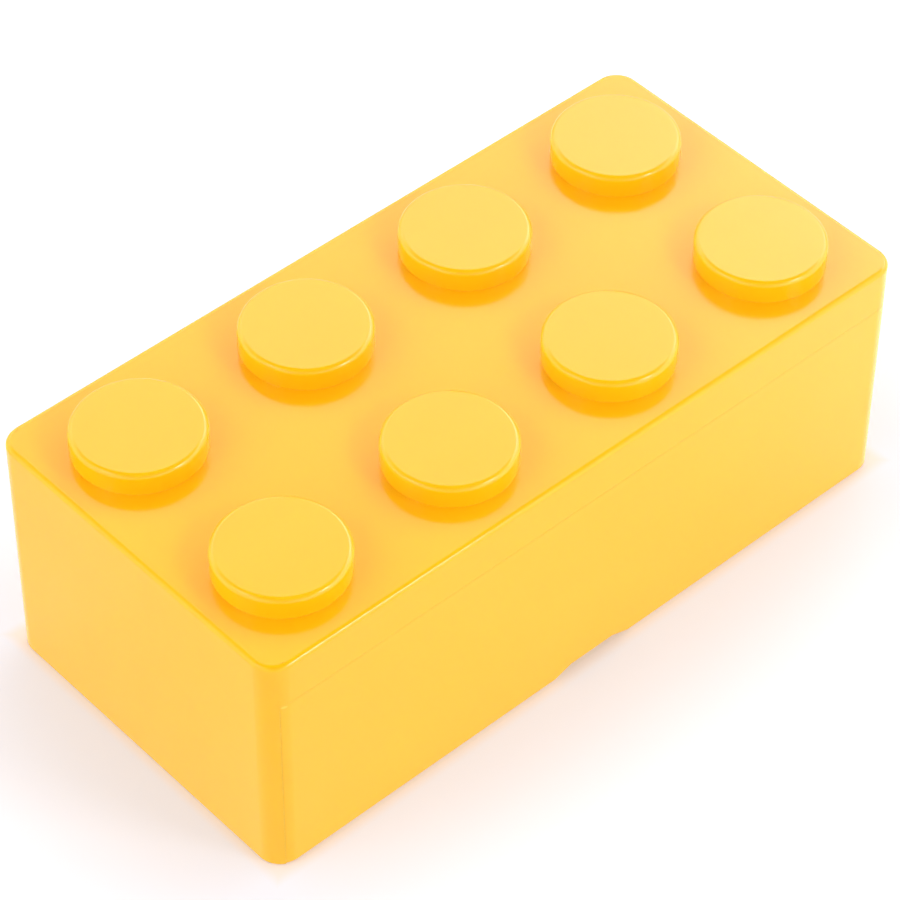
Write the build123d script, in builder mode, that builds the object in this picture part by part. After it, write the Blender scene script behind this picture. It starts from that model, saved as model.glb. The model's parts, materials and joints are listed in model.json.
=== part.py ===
# Brick-shaped storage box with one drawer behind its long front side.
# Millimetres. X runs along the box, Y across it from the drawer front to the back, Z up.
# The origin is the middle of the ground that the box stands on.

from build123d import *
import os

os.makedirs("parts", exist_ok=True)

# The moulded casing
height = 110.0
corner_radius = 7.0
top_rounding = 2.0
wall = 2.8
top_thickness = 3.0
inner_rounding = 1.5

# The studs on top. Their pitch sets the length and the width too, less the room between neighbours
stud_pitch = 81.5
stud_columns = 4
stud_rows = 2
neighbour_room = 5.0
stud_radius = 26.2
stud_height = 9.6
stud_rounding = 2.0
stud_wall = 2.5

# The drawer opening in the long front side, and the seam round the drawer front
lintel_height = 20.0
seam_inset = 5.0
seam_gap = 0.3
seam_edge_rounding = 0.25

# The drawer front panel and its finger notch
front_thickness = 2.5
front_depth = 6.0
front_flange = 2.2
front_ground_gap = 0.4
bearing_rib = 2.0
bearing_end_inset = 8.0
bearing_rib_count = 5
notch_width = 40.0
notch_top_width = 22.0
notch_height = 3.0
notch_rounding = 2.0
finger_zone_width = 40.0
finger_zone_depth = 12.0
finger_zone_height = 9.0

# The tray of the drawer
tray_side_room = 11.7
tray_back_room = 13.0
tray_wall = 2.0
tray_floor = 2.2
tray_corner_radius = 6.0
tray_floor_rounding = 2.0
tray_rim_rounding = 0.8
tray_headroom = 2.9
skid_height = 1.2
skid_width = 3.0
slide_gap = 0.25

# The snap hooks that hold the front panel to the tray
hook_width = 12.0
hook_thickness = 2.0
hook_barb = 1.0
hook_barb_length = 2.2
hook_clearance = 0.2
hook_spacing = 108.0
hook_columns = 3
hook_low_height = 18.0
hook_high_height = 60.0

# Drawer travel and what guides and stops it inside the casing
drawer_travel = 110.0
stop_gap = 0.3
stop_tab_width = 24.0
stop_tab_thickness = 2.5
stop_tab_overlap = 4.0
stop_gusset_length = 12.0
hold_rib = 2.0
hold_gap = 0.5
back_stop_rib = 2.5
back_stop_height = 52.0

# The base plate with the sockets for the studs of a box below
base_skin = 2.5
base_gap = 0.3
base_rim_wall = 2.0
base_front_gap = 0.5
socket_clearance = 0.6
socket_headroom = 0.6
cup_wall = 2.5
rail_thickness = 2.0
rail_gap = 0.6
rail_rise = 7.0
rail_back_room = 16.0

# The anti-slip pads in the corners of the base plate
pad_radius = 6.0
pad_thickness = 1.5
pad_proud = 0.4
pad_gap = 0.2
pad_end_inset = 11.0
pad_side_inset = 14.5
pad_edge_rounding = 0.3

# The screws and the bosses they turn into
screw_head_radius = 2.9
screw_head_height = 1.9
screw_shank_radius = 1.45
screw_length = 12.0
screw_tip_length = 2.0
screw_recess_length = 3.4
screw_recess_width = 0.7
screw_recess_depth = 0.9
screw_hole_gap = 0.3
screw_pilot_gap = 0.05
screw_head_gap = 0.5
boss_radius = 3.8
boss_height = 16.0
boss_gap = 0.4
seat_wall = 2.4

# The snap lugs at the front ends of the base plate
lug_length = 12.0
lug_height = 2.2
lug_reach = 2.2
lug_level = 4.6
lug_gap = 0.3
lug_front_inset = 16.0

# Levels above the ground. A face within the margin of a level lies on it
level_margin = 0.01
rim_level = pad_proud
top_level = rim_level + height
ceiling_level = top_level - top_thickness
stud_ceiling_level = top_level + stud_height - stud_wall
lintel_level = top_level - lintel_height
socket_depth = stud_height + socket_headroom
deck_level = rim_level + socket_depth + cup_wall
tray_underside = deck_level + slide_gap + skid_height
tray_top = lintel_level - tray_headroom
front_bottom = rim_level + front_ground_gap
front_top = lintel_level - seam_gap
seat_thickness = screw_head_height + screw_head_gap / 2 + seat_wall
seat_level = rim_level + seat_thickness

# Places along and across the box
length = stud_columns * stud_pitch - neighbour_room
width = stud_rows * stud_pitch - neighbour_room
inner_half_length = length / 2 - wall
inner_half_width = width / 2 - wall
front_face = -width / 2
front_back = front_face + front_depth
opening_half_width = length / 2 - seam_inset
front_half_width = opening_half_width - seam_gap
tray_half_width = inner_half_length - tray_side_room
tray_back = width / 2 - tray_back_room
tray_inside_back = tray_back - tray_wall
tray_middle = (front_back + tray_back) / 2
tray_depth = tray_back - front_back
base_front = front_back + base_front_gap
socket_radius = stud_radius + socket_clearance
cup_radius = socket_radius + cup_wall
rail_middle = tray_half_width + rail_gap + rail_thickness / 2
hold_middle = tray_half_width - tray_wall / 2
stop_back = tray_inside_back - drawer_travel - stop_gap
stop_bottom = tray_top - stop_tab_overlap
pad_x = length / 2 - pad_end_inset
pad_y = width / 2 - pad_side_inset
boss_x = inner_half_length - boss_radius
boss_y = inner_half_width - boss_radius
back_screws = [(-stud_pitch, boss_y), (0, boss_y), (stud_pitch, boss_y)]
side_screws = [(-boss_x, 0), (boss_x, 0)]
screw_places = back_screws + side_screws
lug_y = front_face + lug_front_inset

# Casing: the outer block with its rounded corners and top edge
with BuildPart() as casing:
    with BuildSketch(Plane.XY.offset(rim_level)):
        RectangleRounded(length, width, corner_radius)
    extrude(amount=height)
    fillet(casing.faces().sort_by(Axis.Z)[-1].edges(), top_rounding)

    # The studs, rounded at their rims
    with BuildSketch(Plane.XY.offset(top_level)):
        with GridLocations(stud_pitch, stud_pitch, stud_columns, stud_rows):
            Circle(stud_radius)
    extrude(amount=stud_height)
    stud_rims = casing.faces().group_by(Axis.Z)[-1].edges()
    fillet(stud_rims, stud_rounding)

    # The hollow of the box and the hollows of the studs, open from below
    with BuildSketch(Plane.XY.offset(rim_level)):
        RectangleRounded(2 * inner_half_length, 2 * inner_half_width, corner_radius - wall)
    extrude(amount=height - top_thickness, mode=Mode.SUBTRACT)
    with BuildSketch(Plane.XY.offset(ceiling_level)):
        with GridLocations(stud_pitch, stud_pitch, stud_columns, stud_rows):
            Circle(stud_radius - stud_wall)
    extrude(amount=stud_ceiling_level - ceiling_level, mode=Mode.SUBTRACT)
    stud_ceilings = casing.faces().filter_by(Plane.XY)
    stud_ceilings = stud_ceilings.filter_by_position(
        Axis.Z, stud_ceiling_level - level_margin, stud_ceiling_level + level_margin
    )
    fillet(stud_ceilings.edges(), inner_rounding)

    # The drawer opening, which leaves a strip above it and a curved lip at each end
    opening_height = lintel_level - rim_level
    with BuildSketch(Plane.XZ.offset(width / 2)):
        with Locations((0, rim_level + opening_height / 2)):
            Rectangle(2 * opening_half_width, opening_height)
    extrude(amount=-corner_radius, mode=Mode.SUBTRACT)

    # Two ribs under the top that keep the tray level when it is pulled out
    with BuildSketch(Plane.XY.offset(ceiling_level)):
        hold_front = front_back + hold_gap
        with Locations((0, (hold_front + inner_half_width) / 2)):
            with GridLocations(2 * hold_middle, 0, 2, 1):
                Rectangle(hold_rib, inner_half_width - hold_front)
    extrude(amount=-(ceiling_level - tray_top - hold_gap))

    # Two hanging tabs with a gusset each, which the back of the tray meets at full travel
    for side in (-1, 1):
        with BuildSketch(Plane.XY.offset(ceiling_level)):
            with Locations((side * stud_pitch, stop_back - stop_tab_thickness / 2)):
                Rectangle(stop_tab_width, stop_tab_thickness)
        extrude(amount=-(ceiling_level - stop_bottom))
        with BuildSketch(Plane.YZ.offset(side * stud_pitch)):
            with BuildLine():
                gusset_back = stop_back - stop_tab_thickness
                Polyline(
                    (gusset_back, stop_bottom),
                    (gusset_back, ceiling_level),
                    (gusset_back - stop_gusset_length, ceiling_level),
                    close=True,
                )
            make_face()
        extrude(amount=stop_tab_thickness / 2, both=True)

    # Two upright ribs on the back wall, where the tray rests when it is shut
    with BuildSketch(Plane.XY.offset(deck_level + slide_gap)):
        rib_reach = inner_half_width - tray_back - stop_gap
        with GridLocations(3 * stud_pitch, 0, 2, 1):
            with Locations((0, inner_half_width - rib_reach / 2)):
                Rectangle(back_stop_rib, rib_reach)
    extrude(amount=back_stop_height)

    # The screw bosses, each joined to its wall
    with BuildSketch(Plane.XY.offset(seat_level)):
        with Locations(*screw_places):
            Circle(boss_radius)
        with Locations(*back_screws):
            with Locations((0, boss_radius / 2)):
                Rectangle(2 * boss_radius, boss_radius)
        for side in (-1, 1):
            with Locations((side * (boss_x + boss_radius / 2), 0)):
                Rectangle(boss_radius, 2 * boss_radius)
        RectangleRounded(
            2 * inner_half_length, 2 * inner_half_width, corner_radius - wall, mode=Mode.INTERSECT
        )
    extrude(amount=boss_height)
    with BuildSketch(Plane.XY.offset(seat_level)):
        with Locations(*screw_places):
            Circle(screw_shank_radius + screw_pilot_gap)
    extrude(amount=boss_height - boss_radius, mode=Mode.SUBTRACT)

    # The two lugs that the front ends of the base plate snap over
    for side in (-1, 1):
        with BuildSketch(Plane.XZ.offset(-lug_y)):
            with BuildLine():
                wall_x = side * inner_half_length
                tip_x = side * (inner_half_length - lug_reach)
                low = rim_level + lug_level
                Polyline(
                    (wall_x, low - lug_reach),
                    (wall_x, low + lug_height),
                    (tip_x, low + lug_height),
                    (tip_x, low),
                    close=True,
                )
            make_face()
        extrude(amount=lug_length / 2, both=True)
casing.part.label = "casing"
export_step(casing.part, "parts/casing.step")

# Outline of the base plate: the inside of the casing, cut straight behind the drawer front
with BuildSketch() as base_outline:
    RectangleRounded(
        2 * (inner_half_length - base_gap),
        2 * (inner_half_width - base_gap),
        corner_radius - wall - base_gap,
    )
    with Locations((0, (base_front - width / 2) / 2)):
        Rectangle(length, width / 2 + base_front, mode=Mode.SUBTRACT)

# Base plate: the flat floor and the upright rim round it
with BuildPart() as base_plate:
    with BuildSketch(Plane.XY.offset(rim_level)):
        add(base_outline.sketch)
    extrude(amount=base_skin)
    with BuildSketch(Plane.XY.offset(rim_level)):
        add(base_outline.sketch)
        offset(base_outline.sketch, amount=-base_rim_wall, mode=Mode.SUBTRACT)
    extrude(amount=deck_level - rim_level)

    # The eight raised cups that carry the tray, with the stud sockets below them
    with BuildSketch(Plane.XY.offset(rim_level)):
        with GridLocations(stud_pitch, stud_pitch, stud_columns, stud_rows):
            Circle(cup_radius)
        add(base_outline.sketch, mode=Mode.INTERSECT)
    extrude(amount=deck_level - rim_level)
    with BuildSketch(Plane.XY.offset(rim_level)):
        with GridLocations(stud_pitch, stud_pitch, stud_columns, stud_rows):
            Circle(socket_radius)
    extrude(amount=socket_depth, mode=Mode.SUBTRACT)

    # The rails beside the tray
    rail_back = inner_half_width - rail_back_room
    with BuildSketch(Plane.XY.offset(rim_level)):
        with Locations((0, (base_front + rail_back) / 2)):
            with GridLocations(2 * rail_middle, 0, 2, 1):
                Rectangle(rail_thickness, rail_back - base_front)
        with GridLocations(stud_pitch, stud_pitch, stud_columns, stud_rows):
            Circle(socket_radius, mode=Mode.SUBTRACT)
    extrude(amount=deck_level - rim_level + rail_rise)

    # The finger hollow behind the notch, open in front and below
    with BuildSketch(Plane.XY.offset(rim_level)):
        with Locations((0, base_front + (finger_zone_depth + base_skin) / 2)):
            Rectangle(finger_zone_width + 2 * base_skin, finger_zone_depth + base_skin)
    extrude(amount=finger_zone_height + base_skin)
    with BuildSketch(Plane.XY.offset(rim_level)):
        with Locations((0, base_front + finger_zone_depth / 2)):
            Rectangle(finger_zone_width, finger_zone_depth)
    extrude(amount=finger_zone_height, mode=Mode.SUBTRACT)
    with BuildSketch(Plane.XY.offset(rim_level)):
        with GridLocations(stud_pitch, stud_pitch, stud_columns, stud_rows):
            Circle(socket_radius)
    extrude(amount=socket_depth, mode=Mode.SUBTRACT)

    # The seats of the screws, with room above them for the bosses of the casing
    with BuildSketch(Plane.XY.offset(seat_level)):
        with Locations(*screw_places):
            Circle(boss_radius + boss_gap)
        with Locations(*back_screws):
            with Locations((0, boss_radius)):
                Rectangle(2 * (boss_radius + boss_gap), 2 * boss_radius)
        for side in (-1, 1):
            with Locations((side * (boss_x + boss_radius), 0)):
                Rectangle(2 * boss_radius, 2 * (boss_radius + boss_gap))
    extrude(amount=deck_level - seat_level, mode=Mode.SUBTRACT)
    with BuildSketch(Plane.XY.offset(rim_level)):
        with Locations(*screw_places):
            Circle(boss_radius + boss_gap)
        add(base_outline.sketch, mode=Mode.INTERSECT)
    extrude(amount=seat_thickness)
    with BuildSketch(Plane.XY.offset(rim_level)):
        with Locations(*screw_places):
            Circle(screw_shank_radius + screw_hole_gap)
    extrude(amount=seat_thickness, mode=Mode.SUBTRACT)
    with BuildSketch(Plane.XY.offset(rim_level)):
        with Locations(*screw_places):
            Circle(screw_head_radius + screw_head_gap / 2)
    extrude(amount=seat_thickness - seat_wall, mode=Mode.SUBTRACT)

    # The round recesses of the pads
    with BuildSketch(Plane.XY.offset(rim_level)):
        with GridLocations(2 * pad_x, 2 * pad_y, 2, 2):
            Circle(pad_radius + pad_gap)
    extrude(amount=pad_thickness - pad_proud, mode=Mode.SUBTRACT)

    # The windows for the snap lugs
    with BuildSketch(Plane.XY.offset(rim_level + lug_level - lug_reach - lug_gap)):
        with Locations((0, lug_y)):
            with GridLocations(2 * (inner_half_length - base_rim_wall), 0, 2, 1):
                Rectangle(3 * base_rim_wall, lug_length + 2 * lug_gap)
    extrude(amount=lug_height + lug_reach + 2 * lug_gap, mode=Mode.SUBTRACT)
base_plate.part.label = "base_plate"
export_step(base_plate.part, "parts/base_plate.step")

# Tray: an open box with rounded corners
with BuildPart() as drawer_tray:
    with BuildSketch(Plane.XY.offset(tray_underside)):
        with Locations((0, tray_middle)):
            RectangleRounded(2 * tray_half_width, tray_depth, tray_corner_radius)
    extrude(amount=tray_top - tray_underside)
    fillet(drawer_tray.faces().sort_by(Axis.Z)[0].edges(), tray_floor + tray_floor_rounding)
    with BuildSketch(Plane.XY.offset(tray_underside + tray_floor)):
        with Locations((0, tray_middle)):
            RectangleRounded(
                2 * (tray_half_width - tray_wall),
                tray_depth - 2 * tray_wall,
                tray_corner_radius - tray_wall,
            )
    extrude(amount=tray_top - tray_underside - tray_floor, mode=Mode.SUBTRACT)
    tray_floor_level = tray_underside + tray_floor
    tray_inside_edges = drawer_tray.faces().filter_by(Plane.XY)
    tray_inside_edges = tray_inside_edges.filter_by_position(
        Axis.Z, tray_floor_level - level_margin, tray_floor_level + level_margin
    )
    fillet(tray_inside_edges.edges(), tray_floor_rounding)
    fillet(drawer_tray.faces().sort_by(Axis.Z)[-1].edges(), tray_rim_rounding)

    # The skids under the floor, one over each column of cups
    with BuildSketch(Plane.XY.offset(deck_level + slide_gap)):
        with Locations((0, tray_middle)):
            with GridLocations(stud_pitch, 0, stud_columns, 1):
                SlotOverall(
                    tray_depth - 2 * (tray_floor + tray_floor_rounding), skid_width, rotation=90
                )
    extrude(amount=skid_height + tray_floor / 2)

    # The slots that the hooks of the front panel pass through
    slot_height = hook_thickness + 2 * hook_clearance
    for hook_height in (hook_low_height, hook_high_height):
        with BuildSketch(Plane.XZ.offset(-front_back)):
            with Locations((0, tray_underside + hook_height)):
                with GridLocations(hook_spacing, 0, hook_columns, 1):
                    Rectangle(hook_width + 2 * hook_clearance, slot_height)
        extrude(amount=-tray_wall, mode=Mode.SUBTRACT)
drawer_tray.part.label = "drawer_tray"
export_step(drawer_tray.part, "parts/drawer_tray.step")

# Front panel: the long side of the brick between the two lips, hollow behind
with BuildPart() as drawer_front:
    with BuildSketch(Plane.XY.offset(front_bottom)):
        RectangleRounded(length, width, corner_radius)
        with Locations((0, front_face + front_depth / 2)):
            Rectangle(2 * front_half_width, front_depth, mode=Mode.INTERSECT)
    extrude(amount=front_top - front_bottom)
    outer_edges = drawer_front.faces().filter_by(GeomType.PLANE).sort_by(Axis.Y)[0].edges()
    fillet(outer_edges.filter_by(Axis.X), seam_edge_rounding)
    panel_height = front_top - front_bottom
    with BuildSketch(Plane.XZ.offset(-front_back)):
        with Locations((0, front_bottom + panel_height / 2)):
            Rectangle(2 * (front_half_width - front_flange), panel_height - 2 * front_flange)
    extrude(amount=front_depth - front_thickness, mode=Mode.SUBTRACT)

    # The ribs on its back that bear on the tray and part the hollow behind the panel
    bearing_rib_spacing = 2 * (tray_half_width - bearing_end_inset) / (bearing_rib_count - 1)
    with BuildSketch(Plane.XZ.offset(-front_back)):
        with Locations((0, front_bottom + panel_height / 2)):
            with GridLocations(bearing_rib_spacing, 0, bearing_rib_count, 1):
                Rectangle(bearing_rib, panel_height - 2 * front_flange)
    extrude(amount=front_depth - front_thickness)

    # The finger notch in the middle of the lower edge, with flange and rib away behind it
    with BuildSketch(Plane.XZ.offset(width / 2)):
        with BuildLine():
            Polyline(
                (-notch_width / 2, front_bottom),
                (-notch_top_width / 2, front_bottom + notch_height),
                (notch_top_width / 2, front_bottom + notch_height),
                (notch_width / 2, front_bottom),
                close=True,
            )
        notch_face = make_face()
        fillet(notch_face.vertices().group_by(Axis.Y)[-1], notch_rounding)
    extrude(amount=-front_depth, mode=Mode.SUBTRACT)
    finger_room = finger_zone_height - front_ground_gap
    with BuildSketch(Plane.XZ.offset(-front_back)):
        with Locations((0, front_bottom + finger_room / 2)):
            Rectangle(finger_zone_width, finger_room)
    extrude(amount=front_depth - front_thickness, mode=Mode.SUBTRACT)

    # The snap hooks, each an arm with a barb behind the wall of the tray
    arm_root = front_face + front_thickness
    barb_front = front_back + tray_wall + hook_clearance
    barb_back = barb_front + hook_barb_length
    hook_columns_x = [hook_spacing * (k - (hook_columns - 1) / 2) for k in range(hook_columns)]
    for hook_height in (hook_low_height, hook_high_height):
        arm_low = tray_underside + hook_height - hook_thickness / 2
        arm_high = arm_low + hook_thickness
        for hook_x in hook_columns_x:
            with BuildSketch(Plane.YZ.offset(hook_x)):
                with BuildLine():
                    Polyline(
                        (arm_root, arm_low),
                        (barb_back, arm_low),
                        (barb_back, arm_high - hook_thickness / 2),
                        (barb_front, arm_high + hook_clearance + hook_barb),
                        (barb_front, arm_high),
                        (arm_root, arm_high),
                        close=True,
                    )
                make_face()
            extrude(amount=hook_width / 2, both=True)
drawer_front.part.label = "drawer_front"
export_step(drawer_front.part, "parts/drawer_front.step")

# Base screws: pan heads with a cross recess, in the seats of the base plate
head_level = seat_level - seat_wall
with BuildPart() as base_screws:
    with BuildSketch(Plane.XY.offset(head_level)):
        with Locations(*screw_places):
            Circle(screw_head_radius)
    extrude(amount=-screw_head_height)
    fillet(base_screws.faces().group_by(Axis.Z)[0].edges(), screw_head_height / 2)
    with BuildSketch(Plane.XY.offset(head_level)):
        with Locations(*screw_places):
            Circle(screw_shank_radius)
    extrude(amount=screw_length)
    chamfer(
        base_screws.faces().group_by(Axis.Z)[-1].edges(),
        length=screw_tip_length,
        length2=screw_shank_radius / 2,
    )
    with BuildSketch(Plane.XY.offset(head_level - screw_head_height)):
        with Locations(*screw_places):
            Rectangle(screw_recess_length, screw_recess_width)
            Rectangle(screw_recess_width, screw_recess_length)
    extrude(amount=screw_recess_depth, mode=Mode.SUBTRACT)
base_screws.part.label = "base_screws"
export_step(base_screws.part, "parts/base_screws.step")

# Pads: one soft disc in each corner recess
pad_places = {
    "pad_front_left": (-pad_x, -pad_y),
    "pad_front_right": (pad_x, -pad_y),
    "pad_back_left": (-pad_x, pad_y),
    "pad_back_right": (pad_x, pad_y),
}
for pad_name, place in pad_places.items():
    with BuildPart() as pad:
        with BuildSketch():
            with Locations(place):
                Circle(pad_radius)
        extrude(amount=pad_thickness)
        fillet(pad.faces().sort_by(Axis.Z)[0].edges(), pad_edge_rounding)
    pad.part.label = pad_name
    export_step(pad.part, "parts/" + pad_name + ".step")
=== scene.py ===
"""Brick-shaped storage box: the real outer skin, finishes, studio and camera.

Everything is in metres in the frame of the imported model: X along the box, Y from the drawer
front to the back, Z up, with the origin on the ground under the middle of the box.
"""

from __future__ import annotations

import json
import logging
import math
from dataclasses import dataclass, field
from enum import Enum

import bmesh
import bpy
from mathutils import Matrix, Vector

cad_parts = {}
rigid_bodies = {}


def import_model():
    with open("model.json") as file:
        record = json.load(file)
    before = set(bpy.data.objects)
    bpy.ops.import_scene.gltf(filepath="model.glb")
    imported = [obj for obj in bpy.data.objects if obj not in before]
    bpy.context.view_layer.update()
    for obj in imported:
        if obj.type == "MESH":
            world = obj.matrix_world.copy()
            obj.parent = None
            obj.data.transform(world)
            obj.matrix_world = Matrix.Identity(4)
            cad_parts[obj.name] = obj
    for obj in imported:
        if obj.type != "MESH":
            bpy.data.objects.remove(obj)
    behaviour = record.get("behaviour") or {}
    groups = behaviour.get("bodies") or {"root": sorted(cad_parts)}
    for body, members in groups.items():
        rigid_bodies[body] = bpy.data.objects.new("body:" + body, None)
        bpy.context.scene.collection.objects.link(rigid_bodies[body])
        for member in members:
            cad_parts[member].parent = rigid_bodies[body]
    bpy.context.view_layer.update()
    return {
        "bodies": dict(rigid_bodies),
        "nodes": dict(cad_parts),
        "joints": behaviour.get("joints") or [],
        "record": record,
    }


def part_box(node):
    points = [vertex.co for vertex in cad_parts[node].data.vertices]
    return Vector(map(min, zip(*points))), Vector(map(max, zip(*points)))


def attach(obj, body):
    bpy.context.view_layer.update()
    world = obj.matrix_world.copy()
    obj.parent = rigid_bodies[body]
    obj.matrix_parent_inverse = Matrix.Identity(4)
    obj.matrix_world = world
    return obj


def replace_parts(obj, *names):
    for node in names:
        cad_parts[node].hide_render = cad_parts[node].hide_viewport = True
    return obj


LOG = logging.getLogger("brick_box")
Colour = tuple[float, float, float]
Point = tuple[float, float, float]
Range = tuple[float, float]
Socket = bpy.types.NodeSocket
Value = Socket | float | Colour
WHITE: Colour = (1.0, 1.0, 1.0)


class Slot(Enum):
    """The record's material slots."""

    SHELL = "shell_gloss"
    INNER = "inner_satin"
    SCREW = "screw_zinc"
    PAD = "pad_soft"


class Body(Enum):
    """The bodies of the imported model."""

    CASE = "case"
    DRAWER = "drawer"


class NodeBuilder:
    """Adds nodes to a shader tree and wires them by socket name."""

    def __init__(self, tree: bpy.types.NodeTree) -> None:
        """Keeps the tree that nodes go into.

        Args:
            tree: The node tree of a material, a group or the world.
        """
        self.tree = tree

    def add(
        self, kind: str, values: dict[str | int, Value] | None = None, **settings: object
    ) -> bpy.types.Node:
        """Adds one node.

        Args:
            kind: The node's type name, without the leading ShaderNode.
            values: Input values by socket name or index. A socket given as a value is linked.
            settings: Properties that are set on the node itself.

        Returns:
            The new node.
        """
        node = self.tree.nodes.new("ShaderNode" + kind)
        for name, value in settings.items():
            setattr(node, name, value)
        for name, value in (values or {}).items():
            self.feed(value, node.inputs[name])
        return node

    def feed(self, value: Value, socket: Socket) -> None:
        """Links a socket to a socket, or sets a plain value on it.

        Args:
            value: What the socket gets. A colour of three numbers gets an alpha of one.
            socket: The input socket.
        """
        if isinstance(value, Socket):
            self.tree.links.new(value, socket)
        elif isinstance(value, tuple) and len(value) == 3 and socket.type == "RGBA":
            socket.default_value = (*value, 1.0)
        else:
            socket.default_value = value

    def math(
        self, operation: str, first: Value, second: Value = 0.0, clamp: bool = False
    ) -> Socket:
        """Adds one math node.

        Args:
            operation: The node's operation, such as ADD.
            first: The first value or socket.
            second: The second value or socket.
            clamp: Whether the result is held between zero and one.

        Returns:
            The result's socket.
        """
        node = self.add("Math", {0: first, 1: second}, operation=operation, use_clamp=clamp)
        return node.outputs[0]

    def ramp(
        self, value: Value, low: Value, high: Value, to_low: Value = 0.0, to_high: Value = 1.0
    ) -> Socket:
        """Maps a value smoothly from one range to another and holds it inside.

        Args:
            value: The value or socket that is mapped.
            low: Where the first range starts. It may lie above the end.
            high: Where the first range ends.
            to_low: The result at the start.
            to_high: The result at the end.

        Returns:
            The result's socket.
        """
        node = self.add(
            "MapRange",
            {"Value": value, "From Min": low, "From Max": high, "To Min": to_low, "To Max": to_high},
            interpolation_type="SMOOTHSTEP",
        )
        return node.outputs["Result"]

    def mix(self, factor: Value, first: Value, second: Value) -> Socket:
        """Mixes two colours.

        Args:
            factor: The share of the second colour.
            first: The first colour.
            second: The second colour.

        Returns:
            The mixed colour's socket.
        """
        node = self.add("Mix", data_type="RGBA")
        for index, value in ((0, factor), (6, first), (7, second)):
            self.feed(value, node.inputs[index])
        return node.outputs[2]

    def finish(self, shader: bpy.types.Node, kind: str = "OutputMaterial") -> None:
        """Links the last shader to the tree's output.

        Args:
            shader: The last shader.
            kind: The output node's type name.
        """
        out = self.add(kind)
        self.feed(shader.outputs[0], out.inputs["Surface"])


def empty_nodes(owner: bpy.types.Material | bpy.types.World) -> NodeBuilder:
    """Turns on the nodes of a material or the world and takes out those it comes with.

    Args:
        owner: The material or the world.

    Returns:
        The builder of its tree.
    """
    owner.use_nodes = True
    owner.node_tree.nodes.clear()
    return NodeBuilder(owner.node_tree)


class ShaderGroup:
    """A shader node group with named inputs and outputs, built once."""

    name = "group"
    inputs: dict[str, tuple[str, float]] = {}
    outputs: dict[str, str] = {}

    def tree(self) -> bpy.types.NodeTree:
        """Makes the group's tree at the first call and finds it again later.

        Returns:
            The node tree of the group.
        """
        found = bpy.data.node_groups.get(self.name)
        if found is not None:
            return found
        tree = bpy.data.node_groups.new(self.name, "ShaderNodeTree")
        for label, (kind, value) in self.inputs.items():
            socket = tree.interface.new_socket(label, in_out="INPUT", socket_type="NodeSocket" + kind)
            socket.default_value = value
        for label, kind in self.outputs.items():
            tree.interface.new_socket(label, in_out="OUTPUT", socket_type="NodeSocket" + kind)
        nodes = NodeBuilder(tree)
        given = tree.nodes.new("NodeGroupInput").outputs
        made = self.build(nodes, given)
        out = tree.nodes.new("NodeGroupOutput")
        for label, value in made.items():
            nodes.feed(value, out.inputs[label])
        return tree

    def build(
        self, nodes: NodeBuilder, given: bpy.types.bpy_prop_collection
    ) -> dict[str, Socket]:
        """Makes the group's nodes.

        Args:
            nodes: The node builder of the group's tree.
            given: The sockets of the group's inputs.

        Returns:
            The result of each output, by name.
        """
        raise NotImplementedError

    def place(self, nodes: NodeBuilder, **values: Value) -> bpy.types.Node:
        """Puts the group into a material.

        Args:
            nodes: The material's node builder.
            values: Input values, with underscores for the spaces of the socket names.

        Returns:
            The group node.
        """
        node = nodes.add("Group")
        node.node_tree = self.tree()
        for label, value in values.items():
            nodes.feed(value, node.inputs[label.replace("_", " ")])
        return node


class EdgeWear(ShaderGroup):
    """Where corners have been rubbed: strong on sharp edges, broken up by fine noise."""

    name = "edge_wear"
    inputs = {"Reach": ("Float", 0.0006), "Grain": ("Float", 900.0)}
    outputs = {"Mask": "Float"}
    sharp: Range = (0.995, 0.86)
    broken: Range = (0.35, 0.65)

    def build(
        self, nodes: NodeBuilder, given: bpy.types.bpy_prop_collection
    ) -> dict[str, Socket]:
        """Compares the rounded normal with the true one and breaks the result up.

        Args:
            nodes: The node builder of the group's tree.
            given: The sockets of the group's inputs.

        Returns:
            The result of each output, by name.
        """
        rounded = nodes.add("Bevel", {"Radius": given["Reach"]}, samples=4)
        true_normal = nodes.add("NewGeometry").outputs["Normal"]
        likeness = nodes.add(
            "VectorMath", {0: rounded.outputs[0], 1: true_normal}, operation="DOT_PRODUCT"
        )
        edge = nodes.ramp(likeness.outputs["Value"], *self.sharp)
        place = nodes.add("TexCoord").outputs["Object"]
        grain = nodes.add("TexNoise", {"Vector": place, "Scale": given["Grain"], "Detail": 3.0})
        kept = nodes.ramp(grain.outputs[0], *self.broken)
        return {"Mask": nodes.math("MULTIPLY", edge, kept, clamp=True)}


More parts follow.
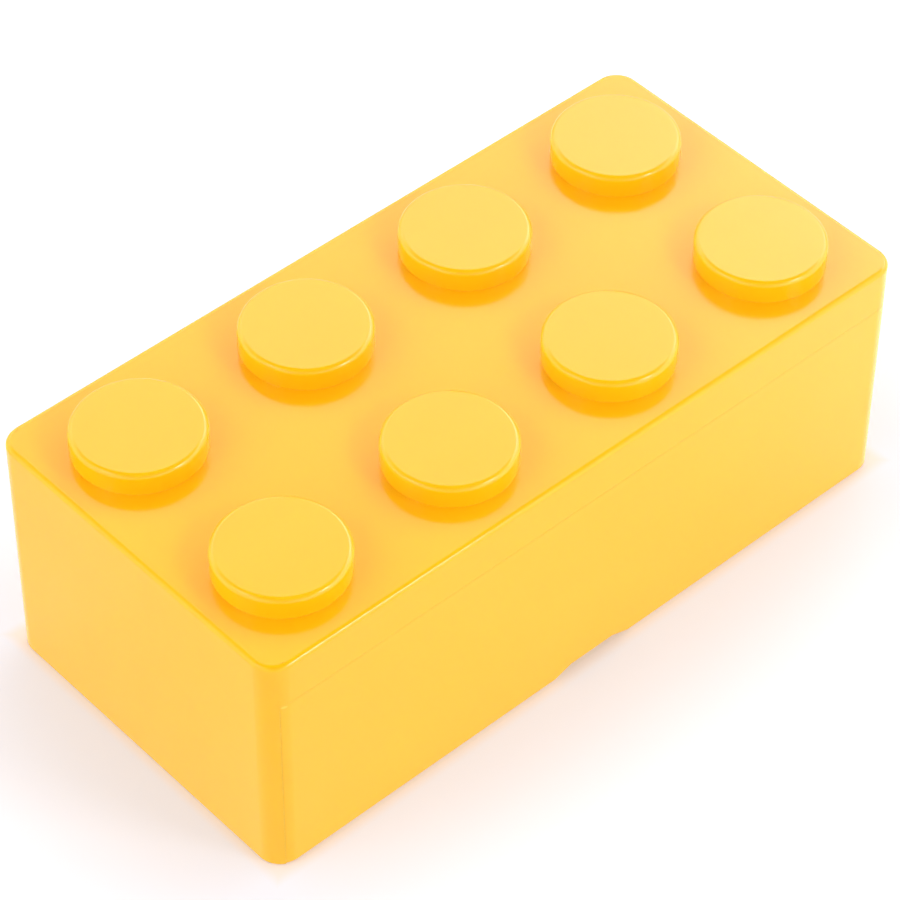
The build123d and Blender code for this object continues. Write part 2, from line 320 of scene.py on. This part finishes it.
class MouldSkin(ShaderGroup):
    """The skin of a moulding: slow waves, fine orange peel and hairline scratches as a height."""

    name = "mould_skin"
    inputs = {
        "Wave Scale": ("Float", 22.0),
        "Peel Scale": ("Float", 700.0),
        "Peel": ("Float", 0.2),
        "Scratches": ("Float", 0.15),
    }
    outputs = {"Height": "Float", "Haze": "Float"}
    hair_turn: Point = (0.3, 0.5, 0.9)
    hair_stretch: Point = (40.0, 2600.0, 700.0)
    hair_cut: Range = (0.70, 0.78)
    cloud_scale: float = 9.0
    cloud_range: Range = (0.35, 0.7)
    scratch_haze: float = 0.5

    def build(
        self, nodes: NodeBuilder, given: bpy.types.bpy_prop_collection
    ) -> dict[str, Socket]:
        """Adds up the three scales of relief and a slow haze for the gloss.

        Args:
            nodes: The node builder of the group's tree.
            given: The sockets of the group's inputs.

        Returns:
            The result of each output, by name.
        """
        place = nodes.add("TexCoord").outputs["Object"]
        wave = nodes.add("TexNoise", {"Vector": place, "Scale": given["Wave Scale"], "Detail": 1.0})
        peel = nodes.add("TexNoise", {"Vector": place, "Scale": given["Peel Scale"], "Detail": 2.0})
        stretched = nodes.add(
            "Mapping", {"Vector": place, "Rotation": self.hair_turn, "Scale": self.hair_stretch}
        )
        hair = nodes.add("TexNoise", {"Vector": stretched.outputs[0], "Scale": 1.0, "Detail": 2.0})
        line = nodes.ramp(hair.outputs[0], *self.hair_cut)
        peel_height = nodes.math("MULTIPLY", peel.outputs[0], given["Peel"])
        scratch_depth = nodes.math("MULTIPLY", line, given["Scratches"])
        relief = nodes.math("ADD", wave.outputs[0], peel_height)
        cloud = nodes.add("TexNoise", {"Vector": place, "Scale": self.cloud_scale, "Detail": 4.0})
        cloudy = nodes.ramp(cloud.outputs[0], *self.cloud_range)
        haze = nodes.math("ADD", cloudy, nodes.math("MULTIPLY", line, self.scratch_haze))
        return {
            "Height": nodes.math("SUBTRACT", relief, scratch_depth),
            "Haze": nodes.math("MINIMUM", haze, 1.0),
        }


class PigmentFlow(ShaderGroup):
    """The faint unevenness of coloured plastic: slow clouds and streaks from the mould's gate."""

    name = "pigment_flow"
    inputs = {"Amount": ("Float", 0.5)}
    outputs = {"Mask": "Float"}
    cloud_scale: float = 14.0
    swirl: float = 0.6
    streak_stretch: Point = (6.0, 45.0, 30.0)

    def build(
        self, nodes: NodeBuilder, given: bpy.types.bpy_prop_collection
    ) -> dict[str, Socket]:
        """Mixes two slow noises into one mask.

        Args:
            nodes: The node builder of the group's tree.
            given: The sockets of the group's inputs.

        Returns:
            The result of each output, by name.
        """
        place = nodes.add("TexCoord").outputs["Object"]
        cloud = nodes.add(
            "TexNoise",
            {"Vector": place, "Scale": self.cloud_scale, "Detail": 3.0, "Distortion": self.swirl},
        )
        streaks = nodes.add("Mapping", {"Vector": place, "Scale": self.streak_stretch})
        streak = nodes.add("TexNoise", {"Vector": streaks.outputs[0], "Scale": 1.0, "Detail": 2.0})
        both = nodes.math("MULTIPLY", nodes.math("ADD", cloud.outputs[0], streak.outputs[0]), 0.5)
        return {"Mask": nodes.math("MULTIPLY", both, given["Amount"], clamp=True)}


class Finish:
    """A material that is built from its own values."""

    name: str

    def make(self) -> bpy.types.Material:
        """Builds the material.

        Returns:
            The new material.
        """
        material = bpy.data.materials.new(self.name)
        nodes = empty_nodes(material)
        nodes.finish(self.shader(nodes))
        return material

    def shader(self, nodes: NodeBuilder) -> bpy.types.Node:
        """Makes the finish's nodes.

        Args:
            nodes: The material's node builder.

        Returns:
            The last shader.
        """
        raise NotImplementedError


@dataclass(frozen=True)
class AmberPlastic(Finish):
    """Amber moulded plastic, polished on show faces and satin inside."""

    name: str
    colour: Colour = (0.94, 0.485, 0.004)
    deep_colour: Colour = (0.92, 0.44, 0.002)
    worn_colour: Colour = (1.0, 0.66, 0.10)
    roughness: float = 0.15
    haze_roughness: float = 0.21
    coat: float = 0.0
    peel: float = 0.12
    scratches: float = 0.10
    relief: float = 0.00012
    wear: float = 0.35
    crown_level: float | None = None
    crown_step: float = 0.0004
    crown_coat: float = 0.15
    depth_share: float = 0.3
    depth: float = 0.003
    depth_colour: Colour = (1.0, 0.75, 0.15)
    # painted highlight: small glint spots mixed into the base colour at the given places
    painted_glints: tuple[Point, ...] = ()
    painted_glint_colour: Colour = (1.0, 0.60, 0.05)
    painted_glint_stretch: Point = (530.0, 400.0, 1100.0)
    painted_glint_fade: Range = (1.0, 0.35)

    def painted_glint_mask(self, nodes: NodeBuilder) -> Socket:
        """Makes the mask of the painted highlights: small glint spots on corners.

        Args:
            nodes: The material's node builder.

        Returns:
            The mask, one in the middle of each painted glint.
        """
        place = nodes.add("TexCoord").outputs["Object"]
        mask = 0.0
        for painted_glint_place in self.painted_glints:
            away = nodes.add("VectorMath", {0: place, 1: painted_glint_place}, operation="SUBTRACT")
            scaled = nodes.add(
                "VectorMath", {0: away.outputs[0], 1: self.painted_glint_stretch}, operation="MULTIPLY"
            )
            length = nodes.add("VectorMath", {0: scaled.outputs[0]}, operation="LENGTH")
            spot = nodes.ramp(length.outputs["Value"], *self.painted_glint_fade)
            mask = nodes.math("MAXIMUM", spot, mask)
        return mask

    def coat_weight(self, nodes: NodeBuilder) -> Value:
        """Gives the weight of the clear coat, which only the stud tops may have more of.

        Args:
            nodes: The material's node builder.

        Returns:
            The weight, or the socket that gives it.
        """
        if self.crown_level is None:
            return self.coat
        place = nodes.add("TexCoord").outputs["Object"]
        height = nodes.add("SeparateXYZ", {0: place}).outputs["Z"]
        crown = nodes.ramp(height, self.crown_level - self.crown_step, self.crown_level)
        return nodes.ramp(crown, 0.0, 1.0, self.coat, self.crown_coat)

    def shader(self, nodes: NodeBuilder) -> bpy.types.Node:
        """Makes the plastic's nodes.

        Args:
            nodes: The material's node builder.

        Returns:
            The last shader.
        """
        flow = PigmentFlow().place(nodes, Amount=0.9)
        wear = EdgeWear().place(nodes, Reach=0.0005, Grain=900.0)
        skin = MouldSkin().place(nodes, Peel=self.peel, Scratches=self.scratches)
        tinted = nodes.mix(flow.outputs["Mask"], self.colour, self.deep_colour)
        worn = nodes.math("MULTIPLY", wear.outputs["Mask"], self.wear)
        colour = nodes.mix(worn, tinted, self.worn_colour)
        # painted highlight: the glint spots lighten the base colour
        if self.painted_glints:
            colour = nodes.mix(self.painted_glint_mask(nodes), colour, self.painted_glint_colour)
        rough = nodes.ramp(skin.outputs["Haze"], 0.0, 1.0, self.roughness, self.haze_roughness)
        bump = nodes.add(
            "Bump", {"Strength": 0.6, "Distance": self.relief, "Height": skin.outputs["Height"]}
        )
        return nodes.add(
            "BsdfPrincipled",
            {
                "Base Color": colour,
                "Roughness": rough,
                "Normal": bump.outputs[0],
                "IOR": 1.5,
                "Coat Weight": self.coat_weight(nodes),
                "Coat Roughness": 0.3,
                "Coat IOR": 1.5,
                "Subsurface Weight": self.depth_share,
                "Subsurface Radius": self.depth_colour,
                "Subsurface Scale": self.depth,
            },
        )


@dataclass(frozen=True)
class ZincSteel(Finish):
    """Zinc-plated steel of the screws, with fine hairline scratches and lighter rubbed edges."""

    name: str = "zinc_steel"
    colour: Colour = (0.66, 0.67, 0.69)
    worn_colour: Colour = (0.82, 0.82, 0.82)
    roughness: float = 0.3
    haze_roughness: float = 0.45
    relief: float = 0.00005

    def shader(self, nodes: NodeBuilder) -> bpy.types.Node:
        """Makes the steel's nodes.

        Args:
            nodes: The material's node builder.

        Returns:
            The last shader.
        """
        wear = EdgeWear().place(nodes, Reach=0.0003, Grain=2500.0)
        skin = MouldSkin().place(nodes, Wave_Scale=300.0, Peel_Scale=2500.0, Peel=0.5, Scratches=0.4)
        colour = nodes.mix(wear.outputs["Mask"], self.colour, self.worn_colour)
        rough = nodes.ramp(skin.outputs["Haze"], 0.0, 1.0, self.roughness, self.haze_roughness)
        bump = nodes.add(
            "Bump", {"Strength": 0.5, "Distance": self.relief, "Height": skin.outputs["Height"]}
        )
        return nodes.add(
            "BsdfPrincipled",
            {"Base Color": colour, "Roughness": rough, "Normal": bump.outputs[0], "Metallic": 1.0},
        )


@dataclass(frozen=True)
class SoftPad(Finish):
    """Milky soft pad, matt with a fine grain and a little dust at its edge."""

    name: str = "soft_pad"
    colour: Colour = (0.62, 0.60, 0.55)
    dust: Colour = (0.45, 0.42, 0.37)
    roughness: float = 0.55
    haze_roughness: float = 0.7
    relief: float = 0.0001

    def shader(self, nodes: NodeBuilder) -> bpy.types.Node:
        """Makes the pad's nodes.

        Args:
            nodes: The material's node builder.

        Returns:
            The last shader.
        """
        wear = EdgeWear().place(nodes, Reach=0.0005, Grain=1500.0)
        skin = MouldSkin().place(nodes, Wave_Scale=120.0, Peel_Scale=3000.0, Peel=0.8, Scratches=0.0)
        colour = nodes.mix(wear.outputs["Mask"], self.colour, self.dust)
        bump = nodes.add(
            "Bump", {"Strength": 0.6, "Distance": self.relief, "Height": skin.outputs["Height"]}
        )
        rough = nodes.ramp(skin.outputs["Haze"], 0.0, 1.0, self.roughness, self.haze_roughness)
        return nodes.add(
            "BsdfPrincipled",
            {"Base Color": colour, "Roughness": rough, "Normal": bump.outputs[0]},
        )


@dataclass(frozen=True)
class ShellForm:
    """The outer skin as the photograph has it: rounder upright corners and a tighter seam.

    Only points within the skin's depth are moved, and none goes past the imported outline, so
    what meets the inside of the walls still fits. The turn, in radians, slides points round the
    corner, so that the seam keeps its place along the box.
    """

    half_length: float
    half_width: float
    seam_length: float
    seam_level: float
    packed_radius: float = 0.007
    real_radius: float = 0.010
    skin_depth: float = 0.0022
    turn: float = 0.0507
    cut_steps: tuple[float, ...] = (0.0, 0.001, 0.002)
    seam_shift: float = 0.00022
    rim: float = 0.0006
    rim_depth: float = 0.00027
    touch: float = 0.0001
    outward_share: float = 0.9
    upright: float = 0.01
    sideways: float = 0.05

    @classmethod
    def of_packed(cls, seam_gap: float = 0.0003, digits: int = 5) -> ShellForm:
        """Takes the skin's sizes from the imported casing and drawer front.

        Args:
            seam_gap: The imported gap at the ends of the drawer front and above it.
            digits: How many decimals of a metre a size keeps.

        Returns:
            The form of the skin.
        """
        shell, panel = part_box("casing")[1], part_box("drawer_front")[1]
        return cls(
            half_length=round(shell.x, digits),
            half_width=round(shell.y, digits),
            seam_length=round(panel.x + seam_gap, digits),
            seam_level=round(panel.z + seam_gap, digits),
        )

    def corner(self, place: Vector) -> Vector:
        """Gives a point's place as seen from the middle of the rounder corner's arc.

        Args:
            place: The point.

        Returns:
            How far it lies outside that middle along and across the box.
        """
        along = abs(place.x) - self.half_length + self.real_radius
        return Vector((along, abs(place.y) - self.half_width + self.real_radius))

    def depth(self, place: Vector) -> float:
        """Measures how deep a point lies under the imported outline.

        Args:
            place: The point.

        Returns:
            The level distance to the outline.
        """
        along = abs(place.x) - self.half_length + self.packed_radius
        across = abs(place.y) - self.half_width + self.packed_radius
        if min(along, across) > 0:
            return self.packed_radius - math.hypot(along, across)
        return self.packed_radius - max(along, across)

    def tighten(self, place: Vector) -> Vector:
        """Closes the casing's side of the seam round the drawer front to a hairline.

        Args:
            place: A point of the casing's skin.

        Returns:
            Where the point goes.
        """
        if place.y >= 0 or place.z >= self.seam_level + self.touch:
            return place
        at_end = abs(self.seam_length - abs(place.x)) < self.touch
        at_top = abs(place.z - self.seam_level) < self.touch
        shift = self.seam_shift if at_end else 0.0
        drop = self.seam_shift if at_top else 0.0
        return Vector((place.x - math.copysign(shift, place.x), place.y, place.z - drop))

    def on_rim(self, place: Vector) -> bool:
        """Says whether a point of the drawer front lies on its rounded edge beside the seam.

        Args:
            place: The point.

        Returns:
            True on that edge.
        """
        at_end = abs(place.x) > self.seam_length - self.rim
        at_top = place.z > self.seam_level - self.rim
        return (at_end or at_top) and self.depth(place) < self.rim_depth

    def flatten(self, place: Vector) -> Vector:
        """Brings a point of the drawer front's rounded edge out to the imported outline.

        Args:
            place: The point.

        Returns:
            Where the point goes.
        """
        along = max(0.0, abs(place.x) - self.half_length + self.packed_radius)
        across = math.sqrt(self.packed_radius**2 - along**2)
        flat = self.half_width - self.packed_radius
        return Vector((place.x, math.copysign(flat + across, place.y), place.z))

    def moved(self, place: Vector, node: str) -> Vector:
        """Moves a point of the skin to where the photograph has it.

        Args:
            place: The point.
            node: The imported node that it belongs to.

        Returns:
            Where the point goes.
        """
        depth = self.depth(place)
        if depth > self.skin_depth:
            return place
        if node == "drawer_front" and self.on_rim(place):
            place, depth = self.flatten(place), 0.0
        if node == "casing":
            place = self.tighten(place)
        away = self.corner(place)
        if min(away) <= 0:
            return place
        angle = math.atan2(away.x, away.y)
        angle += self.turn * math.sin(4.0 * angle)
        reach = self.real_radius - depth
        along = self.half_length - self.real_radius + reach * math.sin(angle)
        across = self.half_width - self.real_radius + reach * math.cos(angle)
        return Vector((math.copysign(along, place.x), math.copysign(across, place.y), place.z))

    def outward(self, place: Vector) -> Vector:
        """Gives the level direction out of the skin.

        Args:
            place: A point that has been moved.

        Returns:
            The direction, of length one.
        """
        away = self.corner(place)
        if min(away) <= 0:
            away = Vector((0.0, 1.0)) if away.y > 0 else Vector((1.0, 0.0))
        away.normalize()
        return Vector((math.copysign(away.x, place.x), math.copysign(away.y, place.y), 0.0))

    def shading(self, face: bmesh.types.BMFace, place: Vector, packed: Vector) -> Vector:
        """Gives the shading direction at a face's corner that lies on the skin.

        Args:
            face: The face.
            place: Where its corner is now.
            packed: The corner's packed shading direction.

        Returns:
            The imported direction, or on faces that show outwards the rounder skin's.
        """
        outward = self.outward(place)
        level = math.hypot(face.normal.x, face.normal.y)
        shows = face.normal.dot(outward) > self.outward_share * level
        if not shows or math.hypot(packed.x, packed.y) <= self.sideways:
            return packed
        rise = 0.0 if abs(face.normal.z) < self.upright else packed.z
        return outward * math.sqrt(max(0.0, 1.0 - rise * rise)) + Vector((0, 0, rise))

    def cut(self, form: bmesh.types.BMesh) -> None:
        """Cuts the faces where the rounder corners bend.

        Args:
            form: The form that is cut.
        """
        for axis, half in ((0, self.half_length), (1, self.half_width)):
            for step in self.cut_steps:
                for side in (-1.0, 1.0):
                    place, normal = Vector((0, 0, 0)), Vector((0, 0, 0))
                    place[axis] = side * (half - self.real_radius + step)
                    normal[axis] = side
                    parts = form.verts[:] + form.edges[:] + form.faces[:]
                    bmesh.ops.bisect_plane(form, geom=parts, plane_co=place, plane_no=normal)

    def reshape(self, source: bpy.types.Object, name: str) -> bpy.types.Object:
        """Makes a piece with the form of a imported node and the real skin.

        Args:
            source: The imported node.
            name: The new piece's name.

        Returns:
            The new piece.
        """
        mesh = source.data.copy()
        mesh.name = name
        kept = mesh.attributes.new("packed_normal", "FLOAT_VECTOR", "CORNER")
        for index, corner in enumerate(mesh.corner_normals):
            kept.data[index].vector = corner.vector
        form = bmesh.new()
        form.from_mesh(mesh)
        self.cut(form)
        form.verts.index_update()
        skin = {point.index for point in form.verts if self.depth(point.co) <= self.skin_depth}
        for point in form.verts:
            point.co = self.moved(point.co, source.name)
        form.normal_update()
        layer = form.loops.layers.float_vector["packed_normal"]
        normals = []
        for face in form.faces:
            for loop in face.loops:
                packed = Vector(loop[layer]).normalized()
                on_skin = loop.vert.index in skin
                normals.append(self.shading(face, loop.vert.co, packed) if on_skin else packed)
        form.to_mesh(mesh)
        form.free()
        mesh.normals_split_custom_set(normals)
        mesh.attributes.remove(mesh.attributes["packed_normal"])
        piece = bpy.data.objects.new(name, mesh)
        bpy.context.scene.collection.objects.link(piece)
        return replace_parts(piece, source.name)


@dataclass
class Casing:
    """The outer moulding with the studs."""

    frame: dict
    form: ShellForm
    crown_share: float = 0.985

    def dress(self) -> list[str]:
        """Gives the casing its real skin and its polished finish.

        Returns:
            The names of the dressed pieces.
        """
        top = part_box("casing")[1].z
        finish = AmberPlastic("amber_gloss_casing", crown_level=top * self.crown_share)
        shell = self.form.reshape(self.frame["nodes"]["casing"], "casing_moulding")
        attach(shell, Body.CASE.value)
        return dress_pieces({shell: finish})


@dataclass
class Drawer:
    """The sliding tray with its front panel, which has painted highlights at its upper corners."""

    frame: dict
    form: ShellForm
    # place of a painted highlight at the panel's upper corner, mirrored to both ends
    painted_glint_place: Point = (0.1539, -0.0785, 0.0890)

    def dress(self) -> list[str]:
        """Gives the front its real skin and its polish and the tray its satin inside.

        Returns:
            The names of the dressed pieces.
        """
        # painted highlight at both upper corners of the front panel
        along, across, level = self.painted_glint_place
        painted_glints = tuple((side * along, across, level) for side in (-1.0, 1.0))
        front = AmberPlastic("amber_gloss_front", painted_glints=painted_glints)
        tray = AmberPlastic(
            "amber_satin_tray", roughness=0.34, haze_roughness=0.46, peel=0.5, wear=0.2
        )
        panel = self.form.reshape(self.frame["nodes"]["drawer_front"], "front_panel")
        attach(panel, Body.DRAWER.value)
        made = dress_pieces({panel: front})
        return made + dress_pieces({self.frame["nodes"]["drawer_tray"]: tray})


@dataclass
class Base:
    """The base plate with its screws and pads."""

    frame: dict
    pads: tuple[str, ...] = ("pad_front_left", "pad_front_right", "pad_back_left", "pad_back_right")

    def dress(self) -> list[str]:
        """Gives the plate, the screws and the pads their finishes.

        Returns:
            The names of the dressed pieces.
        """
        plate = AmberPlastic(
            "amber_satin_base", roughness=0.38, haze_roughness=0.5, peel=0.6, wear=0.3
        )
        nodes = self.frame["nodes"]
        made = dress_pieces({nodes["base_plate"]: plate})
        made += dress_pieces({nodes["base_screws"]: ZincSteel()})
        soft = SoftPad()
        return made + dress_pieces({nodes[name]: soft for name in self.pads})


def dress_pieces(finishes: dict[bpy.types.Object, Finish]) -> list[str]:
    """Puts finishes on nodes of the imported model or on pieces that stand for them.

    Args:
        finishes: The finish of each object.

    Returns:
        The names of the objects.
    """
    made = {}
    for piece, finish in finishes.items():
        if finish not in made:
            made[finish] = finish.make()
        piece.data.materials.clear()
        piece.data.materials.append(made[finish])
    return [piece.name for piece in finishes]


@dataclass
class Lamp:
    """One soft rectangular lamp that points at the box."""

    name: str
    place: Point
    aim: Point
    size: tuple[float, float]
    power: float
    colour: Colour = WHITE

    def make(self) -> bpy.types.Object:
        """Builds the lamp and turns it to its aim.

        Returns:
            The lamp object.
        """
        data = bpy.data.lights.new(self.name, "AREA")
        data.shape = "RECTANGLE"
        data.size, data.size_y = self.size
        data.energy = self.power
        data.color = self.colour
        lamp = bpy.data.objects.new(self.name, data)
        lamp.location = self.place
        towards = Vector(self.aim) - Vector(self.place)
        lamp.rotation_mode = "QUATERNION"
        lamp.rotation_quaternion = towards.to_track_quat("-Z", "Y")
        bpy.context.scene.collection.objects.link(lamp)
        return lamp


@dataclass(frozen=True)
class Glow:
    """A soft bright stretch of the surroundings, given by where its light comes from."""

    towards: Range
    spread: Range
    above: Range
    below: Range
    gain: float
    mirrored: float = 1.0

    def level(
        self, nodes: NodeBuilder, direction: Socket, height: Socket, mirror: Socket
    ) -> Socket:
        """Works out how bright the stretch is in a direction.

        Args:
            nodes: The node builder of the world.
            direction: The direction that is looked in.
            height: The upward part of that direction.
            mirror: One where the stretch is seen in a reflection.

        Returns:
            The brightness that the stretch adds.
        """
        aim = (*self.towards, 0.0)
        likeness = nodes.add("VectorMath", {0: direction, 1: aim}, operation="DOT_PRODUCT")
        side = nodes.ramp(likeness.outputs["Value"], *self.spread)
        band = nodes.math("MULTIPLY", nodes.ramp(height, *self.above), nodes.ramp(height, *self.below))
        gain = nodes.ramp(mirror, 0.0, 1.0, self.gain, self.gain * self.mirrored)
        return nodes.math("MULTIPLY", nodes.math("MULTIPLY", side, band), gain)


@dataclass
class Studio:
    """Pale floor, soft lamps and the camera at the photograph's angle."""

    azimuth: float = -42.421
    elevation: float = 45.72
    roll: float = 0.433
    distance: float = 1.52288
    target: Point = (0.014092, 0.019223, 0.0304)
    focal_pixels: float = 3810.06
    picture_pixels: float = 900.0
    sensor: float = 36.0
    farthest_seen: float = 50.0
    floor_size: float = 12.0
    footprint: tuple[float, float] = (0.16, 0.079)
    floor_colour: Colour = (0.80, 0.795, 0.795)
    left_floor_colour: Colour = (0.46, 0.457, 0.457)
    left_floor_range: Range = (-0.17, -0.15)
    seen_floor_colour: Colour = (0.60, 0.60, 0.665)
    # painted shadow: the floor the camera sees gets less lift close to the box than out in the open
    painted_shadow_lift: float = 0.28
    open_lift: float = 0.44
    painted_shadow_range: Range = (0.01, 0.09)
    # painted shade: a warm, darker tint of the seen floor at the box's foot, standing in for amber
    # bounce light and contact shade
    painted_foot_shade: Colour = (1.22, 0.77, 0.35)
    painted_foot_shade_reach: float = 0.006
    mirrored_floor_colour: Colour = (0.50, 0.492, 0.492)
    mirrored_lift: float = 0.53
    mirrored_left: float = 0.32
    mirrored_left_range: Range = (-0.28, -0.12)
    mirrored_right: float = 1.0
    mirrored_right_range: Range = (0.07, 0.26)
    world_level: float = 0.41
    zenith_level: float = 0.08
    zenith_range: Range = (0.70, 0.95)
    glows: list[Glow] = field(default_factory=list)
    lamps: list[Lamp] = field(default_factory=list)

    def build(self) -> None:
        """Builds floor, world, lamps and camera."""
        self.build_floor()
        self.build_world()
        for lamp in self.lamps:
            lamp.make()
        self.build_camera()

    def build_floor(self) -> None:
        """Makes the floor, which the camera sees as white and which keeps the shadow, deepened by
        painted shadow near the box.
        """
        half = self.floor_size / 2
        corners = [(-half, -half, 0), (half, -half, 0), (half, half, 0), (-half, half, 0)]
        mesh = bpy.data.meshes.new("floor")
        mesh.from_pydata(corners, [], [(0, 1, 2, 3)])
        floor = bpy.data.objects.new("floor", mesh)
        bpy.context.scene.collection.objects.link(floor)
        mesh.materials.append(self.paper())

    def paper(self) -> bpy.types.Material:
        """Makes the floor's paper, with painted shadow: less lift near the box and a warm, darker tint
        at its foot.

        Returns:
            The new material.
        """
        material = bpy.data.materials.new("studio_paper")
        nodes = empty_nodes(material)
        path = nodes.add("LightPath")
        direct, mirrored = path.outputs["Is Camera Ray"], path.outputs["Is Glossy Ray"]
        place = nodes.add("TexCoord").outputs["Object"]
        parts = nodes.add("SeparateXYZ", {0: place})
        along, across = parts.outputs["X"], parts.outputs["Y"]
        beyond_end = nodes.math("SUBTRACT", nodes.math("ABSOLUTE", along), self.footprint[0])
        beyond_side = nodes.math("SUBTRACT", nodes.math("ABSOLUTE", across), self.footprint[1])
        away = nodes.math("MAXIMUM", beyond_end, beyond_side)
        # painted shadow: the lift rises from the box out to the open floor
        seen = nodes.ramp(away, *self.painted_shadow_range, self.painted_shadow_lift, self.open_lift)
        bare_colour = nodes.mix(
            nodes.ramp(along, *self.left_floor_range), self.left_floor_colour, self.floor_colour
        )
        lit_colour = nodes.mix(direct, bare_colour, self.seen_floor_colour)
        paper_colour = nodes.mix(mirrored, lit_colour, self.mirrored_floor_colour)
        paper = nodes.add("BsdfDiffuse", {"Color": paper_colour})
        left = nodes.ramp(along, *self.mirrored_left_range, self.mirrored_left, self.mirrored_lift)
        rest = self.mirrored_right - self.mirrored_lift
        right = nodes.ramp(along, *self.mirrored_right_range, 0.0, rest)
        reflected = nodes.math("MULTIPLY", mirrored, nodes.math("ADD", left, right))
        level = nodes.math("ADD", nodes.math("MULTIPLY", direct, seen), reflected)
        # painted shade: warm, darker tint of the seen floor along the box's foot
        foot_shade_share = nodes.math("MULTIPLY", nodes.ramp(away, self.painted_foot_shade_reach, 0.0), direct)
        foot_shade_colour = nodes.mix(foot_shade_share, WHITE, self.painted_foot_shade)
        lift = nodes.add("Emission", {"Color": foot_shade_colour, "Strength": level})
        nodes.finish(nodes.add("AddShader", {0: paper.outputs[0], 1: lift.outputs[0]}))
        return material

    def build_world(self) -> None:
        """Makes the light all round, which the camera sees as white."""
        world = bpy.data.worlds.new("studio_world")
        nodes = empty_nodes(world)
        direction = nodes.add("TexCoord").outputs["Generated"]
        height = nodes.add("SeparateXYZ", {0: direction}).outputs["Z"]
        level = nodes.ramp(height, *self.zenith_range, self.world_level, self.zenith_level)
        path = nodes.add("LightPath")
        seen, mirror = path.outputs["Is Camera Ray"], path.outputs["Is Glossy Ray"]
        for glow in self.glows:
            level = nodes.math("ADD", glow.level(nodes, direction, height, mirror), level)
        dimmed = nodes.math("MULTIPLY", level, nodes.math("SUBTRACT", 1.0, seen))
        strength = nodes.math("ADD", dimmed, seen)
        light = nodes.add("Background", {"Color": WHITE, "Strength": strength})
        nodes.finish(light, "OutputWorld")
        bpy.context.scene.world = world

    def build_camera(self) -> None:
        """Makes the camera where the photograph was taken from."""
        a, e, r = (math.radians(x) for x in (self.azimuth, self.elevation, self.roll))
        back = Vector((math.sin(a) * math.cos(e), -math.cos(a) * math.cos(e), math.sin(e)))
        level = Vector((math.cos(a), math.sin(a), 0.0))
        above = back.cross(level)
        right = level * math.cos(r) + above * math.sin(r)
        up = above * math.cos(r) - level * math.sin(r)
        data = bpy.data.cameras.new("camera")
        data.sensor_fit = "HORIZONTAL"
        data.sensor_width = self.sensor
        data.lens = self.focal_pixels / self.picture_pixels * self.sensor
        data.clip_end = self.farthest_seen
        camera = bpy.data.objects.new("camera", data)
        place = Vector(self.target) + back * self.distance
        turn = Matrix((right, up, back)).transposed().to_4x4()
        camera.matrix_world = Matrix.Translation(place) @ turn
        bpy.context.scene.collection.objects.link(camera)
        bpy.context.scene.camera = camera


def studio_lamps() -> list[Lamp]:
    """The two soft lamps of the studio.

    Returns:
        A lamp in front of the drawer and one at the left end.
    """
    middle = (0.0, 0.0, 0.05)
    return [
        Lamp("front_softbox", (0.45, -1.20, 0.96), aim=middle, size=(0.42, 0.32), power=6.0),
        Lamp("left_softbox", (-1.12, 0.20, 1.18), aim=middle, size=(0.60, 0.60), power=2.6),
    ]


def studio_glows() -> list[Glow]:
    """The bright stretches of the surroundings.

    Returns:
        The backdrop, its brighter right end, and the low walls at the front right and the left.
    """
    low = (-0.6, -0.2)
    return [
        Glow((0.674, 0.738), spread=(0.3, 0.68), above=(0.84, 0.64), below=(0.25, 0.55), gain=2.2),
        Glow((1.0, 0.0), spread=(0.53, 0.62), above=(0.80, 0.64), below=(0.35, 0.55), gain=2.4),
        Glow((0.55, -0.83), spread=(0.2, 0.75), above=(0.68, 0.22), below=low, gain=1.95, mirrored=0.7),
        Glow((-0.9, 0.43), spread=(0.2, 0.8), above=(0.80, 0.35), below=low, gain=2.75, mirrored=0.35),
    ]


def main() -> None:
    """Loads the frame, dresses every sub-assembly and sets up the studio."""
    logging.basicConfig(level=logging.INFO, format="%(name)s: %(message)s")
    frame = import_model()
    form = ShellForm.of_packed()
    for assembly in (Casing(frame, form), Drawer(frame, form), Base(frame)):
        for piece in assembly.dress():
            LOG.info("%s: %s", type(assembly).__name__, piece)
    Studio(glows=studio_glows(), lamps=studio_lamps()).build()
    bpy.context.scene.view_settings.view_transform = "Standard"


if __name__ == "__main__":
    main()
